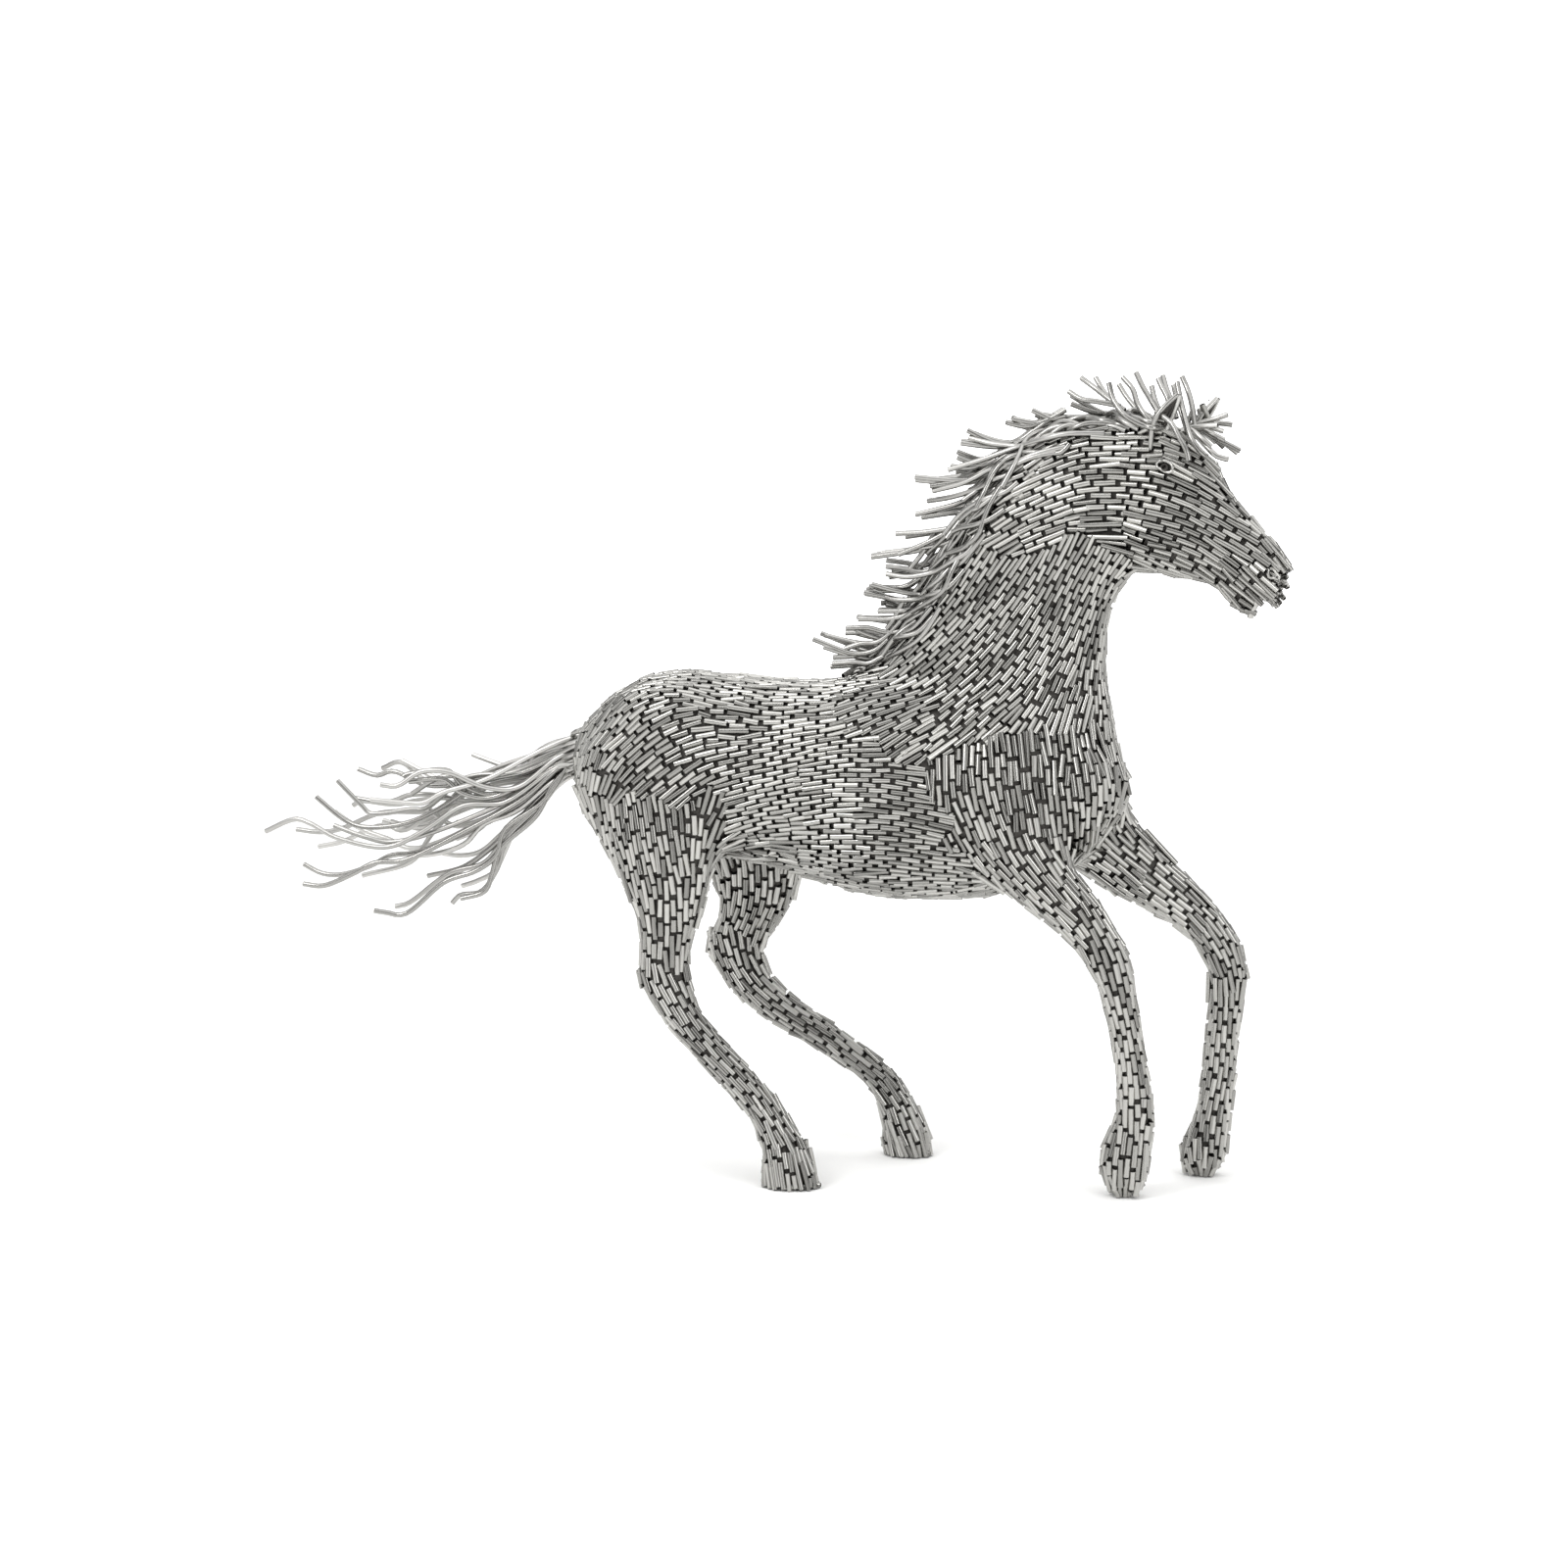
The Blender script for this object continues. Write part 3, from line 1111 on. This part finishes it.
def crest_place(t):
    """A place on the crest and the way down it, as x and z, for t from 0 to 1."""
    reach = min(max(t, 0), 0.9999) * (len(CREST) - 1)
    index = int(reach)
    a, b = Vector(CREST[index]), Vector(CREST[index + 1])
    return a.lerp(b, reach - index), (a - b).normalized()


def crest_share(x, z):
    """How far up the crest its nearest place to x and z lies."""
    goal = Vector((x, z))
    best = min(range(101), key=lambda percent: (crest_place(percent / 100)[0] - goal).length)
    return best / 100


def mane_band(t):
    """How far down the side of the neck the feet of the mane's pipes lie."""
    return BAND_LEAST + BAND_SWELL * math.sin(math.pi * min(t / BAND_END, 1)) ** 0.7


def beside_crest(tree, t, depth, side, height):
    """A place above the skin at a share of the crest, so far down the neck's side."""
    spot, down = crest_place(t)
    inner = spot + Vector((-down.y, down.x)) * (depth + MANE_OFF)
    place = cast_through(tree, inner.x, inner.y, side)
    if place is None:
        place = Vector((spot.x, 0, spot.y))
    near, normal, _, _ = tree.find_nearest(place)
    return near + normal * (height + MANE_OFF)


def mane_pipe(tree, t, rise, depth, side, lift):
    """The part of a mane pipe that lies on the neck, from below upwards."""
    return [
        beside_crest(tree, t + rise * share, depth * down, side, lift * height)
        for share, down, height in MANE_BEND
    ]


def stray(path, chance, reach):
    """Let the middle of a pipe wander, so that pipes cross one another."""
    for index in range(1, len(path) - 1):
        path[index] += Vector((chance.uniform(-reach, reach), 0, chance.uniform(-reach, reach)))
    return path


def strand_path(tree, line, side, lift, drift):
    """A pipe of the mane along a line in a side view, which lies on the neck and juts out."""
    path = []
    foot = None
    for x, z in line:
        place = cast_through(tree, x + drift.x, z + drift.z, side)
        if place is None:
            path.append(Vector((x, side * 0.02, z)) + drift)
        else:
            near, normal, _, _ = tree.find_nearest(place)
            path.append(near + normal * lift)
            foot = near
    if foot:
        path[-1] = foot
    return path


def wander(chance, x_range, z_range):
    """A small random move in a side view."""
    return Vector((chance.uniform(*x_range), 0, chance.uniform(*z_range)))


def mane_paths(tree, chance):
    """Pipes lie down the neck from the crest, and many flick out at their tips."""
    paths = []
    for side in (-1, 1):
        # Pipes within the mane, from the withers up
        for number in range(MANE_INNER):
            t = (number + chance.random()) / MANE_INNER * INNER_REACH
            rise = chance.uniform(*RISE)
            depth = chance.uniform(0.2, 1) * mane_band(t + rise)
            lift = chance.uniform(0.002, 0.014)
            path = mane_pipe(tree, t, rise, depth, side, lift)
            down = chance.uniform(-0.004, 0.5) * depth
            tip = beside_crest(tree, t - 0.03, down, side, lift * 1.3)
            tip += wander(chance, (-0.03, 0.004), (-0.012, 0.01))
            paths.append(stray([tip] + path, chance, 0.014))
        # The pipes that the near side shows one by one, and like ones on the far side
        for line in MANE_STRANDS:
            drift = wander(chance, (-0.016, 0.016), (-0.016, 0.016))
            lift = chance.uniform(0.014, 0.026)
            paths.append(strand_path(tree, line, side, lift, drift * (side > 0)))
        # Pipes that flick out past the neck's outline
        for x, z in MANE_TIPS:
            if chance.random() < TIP_SHARE:
                t = min(crest_share(x, z) + chance.uniform(0.03, 0.08), 0.9)
                rise = chance.uniform(*RISE) * (0.65 + 0.35 * min(t * 3, 1))
                depth = chance.uniform(0.3, 1) * mane_band(t + rise)
                path = mane_pipe(tree, t, rise, depth, side, chance.uniform(0.008, 0.02))
                out = Vector((x, side * chance.uniform(0, 0.035), z))
                out += wander(chance, (-0.005, 0.03), (-0.02, 0.015))
                bend = path[0].lerp(out, 0.5) + Vector((0, side * 0.004, -0.006))
                paths.append([out] + stray([bend] + path, chance, 0.009))
    return paths


def tail_paths(chance):
    """Each pipe leaves the dock's bundle and parts from the rest towards its tip."""
    paths = []
    for number, line in enumerate(TAIL_PIPES):
        # Two in three have a copy that strays
        for copy in range(1 + (number % 3 != 1)):
            turn = TAIL_TURN * (number + 11 * copy)
            sideways = math.sin(turn) * TAIL_BREADTH
            drift = wander(chance, (-1, 1), (-1, 1)) * TAIL_DRIFT * copy
            path = []
            for x, z in line[copy:]:
                share = min(max((TAIL_X - x) / TAIL_PARTING, 0), 1)
                path.append(Vector((x, TAIL_Y + sideways * share, z)) + drift * share)
            # Pipes that hang low leave the rump low, and those on the outside leave it wide
            root = DOCK[2] + (line[-1][1] - TAIL_ROOT) * 1.1 + chance.uniform(-0.012, 0.012)
            breadth = math.cos(turn) * DOCK_BREADTH * (0.6 + 0.4 * copy)
            dock = [
                Vector((DOCK[0], DOCK[1] + breadth, root)),
                Vector((DOCK_END_X, DOCK[1] + breadth * 0.8, root + 0.012)),
            ]
            paths.append(stray(path, chance, 0.008) + dock)
    return paths


class HORSE_OT_mane(bpy.types.Operator):
    """Bend the pipes of the mane and the forelock"""

    bl_idname = "horse.mane"
    bl_label = "Mane and forelock"

    def execute(self, context):
        sizes = context.scene.pipe_sizes
        colours = context.scene.steel_colours
        tree = solid_tree("horse_body")
        chance = random.Random(23)
        material = steel(HAIR_FINISH, colours.hair_dark, colours.hair_light, 0.24, 0.4)
        # Each group's name, lines, lightest tone and plain solids
        for name, paths, lightest, nodes in (
            ("mane", mane_paths(tree, chance), 0.45, MANE_NODES),
            ("mane_top", POLL_PIPES, 0.2, MANE_NODES),
            ("forelock", FORELOCK_PIPES, 1, FORELOCK_NODES),
        ):
            pipes = bent_pipes(name, paths, sizes.hair, sizes.wall, chance, lightest=lightest)
            finish_piece(pipes, material, nodes)
        return {"FINISHED"}


class HORSE_OT_tail(bpy.types.Operator):
    """Bend the pipes of the tail"""

    bl_idname = "horse.tail"
    bl_label = "Tail"

    def execute(self, context):
        sizes = context.scene.pipe_sizes
        chance = random.Random(31)
        tail = bent_pipes("tail", tail_paths(chance), sizes.hair, sizes.wall, chance)
        finish_piece(tail, bpy.data.materials[HAIR_FINISH], TAIL_NODES)
        return {"FINISHED"}


def ear_pipes(line, heading, chance):
    """The small pipes of a cupped ear: those of its two rims, and those between them."""
    lean = math.radians(heading)
    front = Vector((math.cos(lean), -math.sin(lean), 0))
    across = Vector((math.sin(lean), math.cos(lean), 0))
    rims, cup = [], []
    for index in range(EAR_PIPES):
        share = index / (EAR_PIPES - 1) * 2 - 1
        # The rim stands forward and the back of the cup lies behind it
        path = []
        for middle, breadth in zip(line, EAR_BREADTHS):
            back = front * EAR_CUP * (share * share - 1) * breadth / max(EAR_BREADTHS)
            path.append(Vector(middle) + across * share * breadth + back)
        # The pipes between the rims are shorter than the rims
        if abs(share) < 1:
            path[-1] = path[-2].lerp(path[-1], chance.uniform(0.3, 0.9))
            cup.append(path[::-1])
        else:
            rims.append(path[::-1])
    return rims, cup


class HORSE_OT_ears(bpy.types.Operator):
    """Bend the small pipes of the two ears"""

    bl_idname = "horse.ears"
    bl_label = "Ears"

    def execute(self, context):
        chance = random.Random(47)
        for name, heading, line in EARS:
            rims, cup = ear_pipes(line, heading, chance)
            for part, paths, diameter, wall, finish in (
                ("_cup", cup, EAR_PIPE, 0.001, INNER_FINISH),
                ("_rims", rims, EAR_RIM_PIPE, 0.0012, HAIR_FINISH),
            ):
                pipes = bent_pipes(name + part, paths, diameter, wall, chance)
                finish_piece(pipes, bpy.data.materials[finish])
        return {"FINISHED"}


def hollow_rims(tree, middle, normal, side, length, height, lean):
    """The upper and the lower arc of a small pipe around an eye or a nostril."""
    turn = math.radians(lean)
    along = Vector((math.cos(turn), 0, math.sin(turn)))
    along = (along - normal * along.dot(normal)).normalized()
    up = along.cross(normal) * side
    if up.z < 0:
        up = -up
    arcs = []
    for sign, lift in ((1, 0.002), (-1, -0.001)):
        arc = []
        for step in range(RIM_PARTS + 1):
            angle = math.pi * step / RIM_PARTS
            spot = (middle + along * math.cos(angle) * length
                    + up * sign * math.sin(angle) * height)
            near, _, _, _ = tree.find_nearest(spot)
            arc.append(near + normal * lift)
        arcs.append(arc)
    return arcs


class HORSE_OT_face(bpy.types.Operator):
    """Ring the eyes and nostrils with small bent pipes and set an open pipe in each eye"""

    bl_idname = "horse.face"
    bl_label = "Face"

    def execute(self, context):
        chance = random.Random(53)
        tree = solid_tree("horse_body")
        rims, pupils = [], []
        for name, x, z, *shape in HOLLOWS:
            for side in (-1, 1):
                middle = cast_through(tree, x, z, side)
                _, normal, _, _ = tree.find_nearest(middle)
                rims += hollow_rims(tree, middle, normal, side, *shape)
                if name == "eye":
                    pupils.append([middle + normal * depth for depth in PUPIL_DEPTHS])
        ring = bent_pipes("face_rims", rims, LID_PIPE, LID_WALL, chance, step=RIM_STEP)
        finish_piece(ring, bpy.data.materials[SKIN_FINISH])
        pupil = bent_pipes("eyes", pupils, PUPIL_PIPE, PUPIL_WALL, chance, 4)
        finish_piece(pupil, bpy.data.materials[INNER_FINISH])
        return {"FINISHED"}


def light_bands(tree, source, bands):
    """Greys at places from 0 to 1 along a value."""
    ramp = add_node(tree, "ShaderNodeValToRGB", links={0: source})
    stops = ramp.color_ramp.elements
    stops.remove(stops[1])
    for place, grey in bands:
        stop = stops[0] if place == 0 else stops.new(place)
        stop.color = (grey, grey, grey, 1)
    return ramp.outputs["Color"]


def studio_world():
    """A soft studio: pale walls, a greyer band above them and a bright ceiling."""
    world = bpy.data.worlds.new("soft studio")
    world.use_nodes = True
    tree = world.node_tree
    place = add_node(tree, "ShaderNodeTexCoord")
    split = add_node(tree, "ShaderNodeSeparateXYZ", links={0: place.outputs["Generated"]})
    height = light_bands(tree, split.outputs["Z"], HEIGHT_BANDS)
    # The room's own lights show on the near side and below the ceiling only
    spans = (("X", -1, 1), ("Y", -0.05, -0.35), ("Z", 0.62, 0.5))
    sideways, near, low = [
        add_node(
            tree, "ShaderNodeMapRange", values={1: start, 2: end}, links={0: split.outputs[axis]}
        ).outputs[0]
        for axis, start, end in spans
    ]
    share = add_node(
        tree, "ShaderNodeMath", {"operation": "MULTIPLY"}, links={0: near, 1: low}
    )
    light = add_node(
        tree, "ShaderNodeMix", {"data_type": "RGBA"},
        links={0: share.outputs[0], 6: height, 7: light_bands(tree, sideways, ROOM_BANDS)},
    )
    # Behind the horse the studio is plain white from every side
    seen = add_node(tree, "ShaderNodeLightPath")
    shown = add_node(
        tree, "ShaderNodeMix", {"data_type": "RGBA"}, {7: (1, 1, 1, 1)},
        {0: seen.outputs["Is Camera Ray"], 6: light.outputs[2]},
    )
    back = tree.nodes["Background"]
    back.inputs["Strength"].default_value = BRIGHTEST
    tree.links.new(shown.outputs[2], back.inputs["Color"])
    return world


def aim_at(item, goal):
    """Turn a lamp or a camera to face a place."""
    aim = Vector(goal) - item.location
    item.rotation_euler = aim.to_track_quat("-Z", "Y").to_euler()


class HORSE_OT_stage(bpy.types.Operator):
    """Set the pale floor, the soft lights and the camera"""

    bl_idname = "horse.stage"
    bl_label = "Stage"

    def execute(self, context):
        deselect()
        bpy.ops.mesh.primitive_plane_add(size=40, location=(0, 0, -0.001))
        floor = context.active_object
        floor.name = "floor"
        # Matt paper, which gives no reflection of the horse
        material, _, shader = new_material("pale studio floor")
        shader.inputs["Base Color"].default_value = context.scene.steel_colours.floor
        shader.inputs["Roughness"].default_value = 0.9
        floor.data.materials.append(material)
        context.scene.world = studio_world()
        context.scene.view_settings.view_transform = "Standard"
        for name, place, size, power in LAMPS:
            bpy.ops.object.light_add(type="AREA", location=place)
            lamp = context.active_object
            lamp.name = name
            lamp.data.size = size
            lamp.data.energy = power
            aim_at(lamp, LAMP_AIM)
        bpy.ops.object.camera_add(location=CAMERA_PLACE)
        camera = context.active_object
        aim_at(camera, CAMERA_AIM)
        camera.data.sensor_width = SENSOR
        camera.data.lens = SENSOR * FOCAL_PIXELS / FRAME_PIXELS
        context.scene.camera = camera
        return {"FINISHED"}


class HORSE_PT_panel(bpy.types.Panel):
    """The pipe horse's makers, in order"""

    bl_idname = "HORSE_PT_panel"
    bl_label = "Pipe Horse"
    bl_space_type = "VIEW_3D"
    bl_region_type = "UI"
    bl_category = "Pipe Horse"

    def draw(self, context):
        layout = self.layout
        for group in (context.scene.pipe_sizes, context.scene.steel_colours):
            for name in group.__annotations__:
                layout.prop(group, name)
        for maker in MAKERS:
            layout.operator(maker.bl_idname)


MAKERS = (
    HORSE_OT_skin, HORSE_OT_mane, HORSE_OT_tail, HORSE_OT_ears, HORSE_OT_face, HORSE_OT_stage,
)
CLASSES = (PipeSizes, SteelColours, *MAKERS, HORSE_PT_panel)


def register():
    for item in CLASSES:
        bpy.utils.register_class(item)
    bpy.types.Scene.pipe_sizes = PointerProperty(type=PipeSizes)
    bpy.types.Scene.steel_colours = PointerProperty(type=SteelColours)


def unregister():
    del bpy.types.Scene.steel_colours
    del bpy.types.Scene.pipe_sizes
    for item in reversed(CLASSES):
        bpy.utils.unregister_class(item)


def main():
    register()
    bpy.ops.horse.skin()
    bpy.ops.horse.mane()
    bpy.ops.horse.tail()
    bpy.ops.horse.ears()
    bpy.ops.horse.face()
    bpy.ops.horse.stage()


if __name__ == "__main__":
    main()
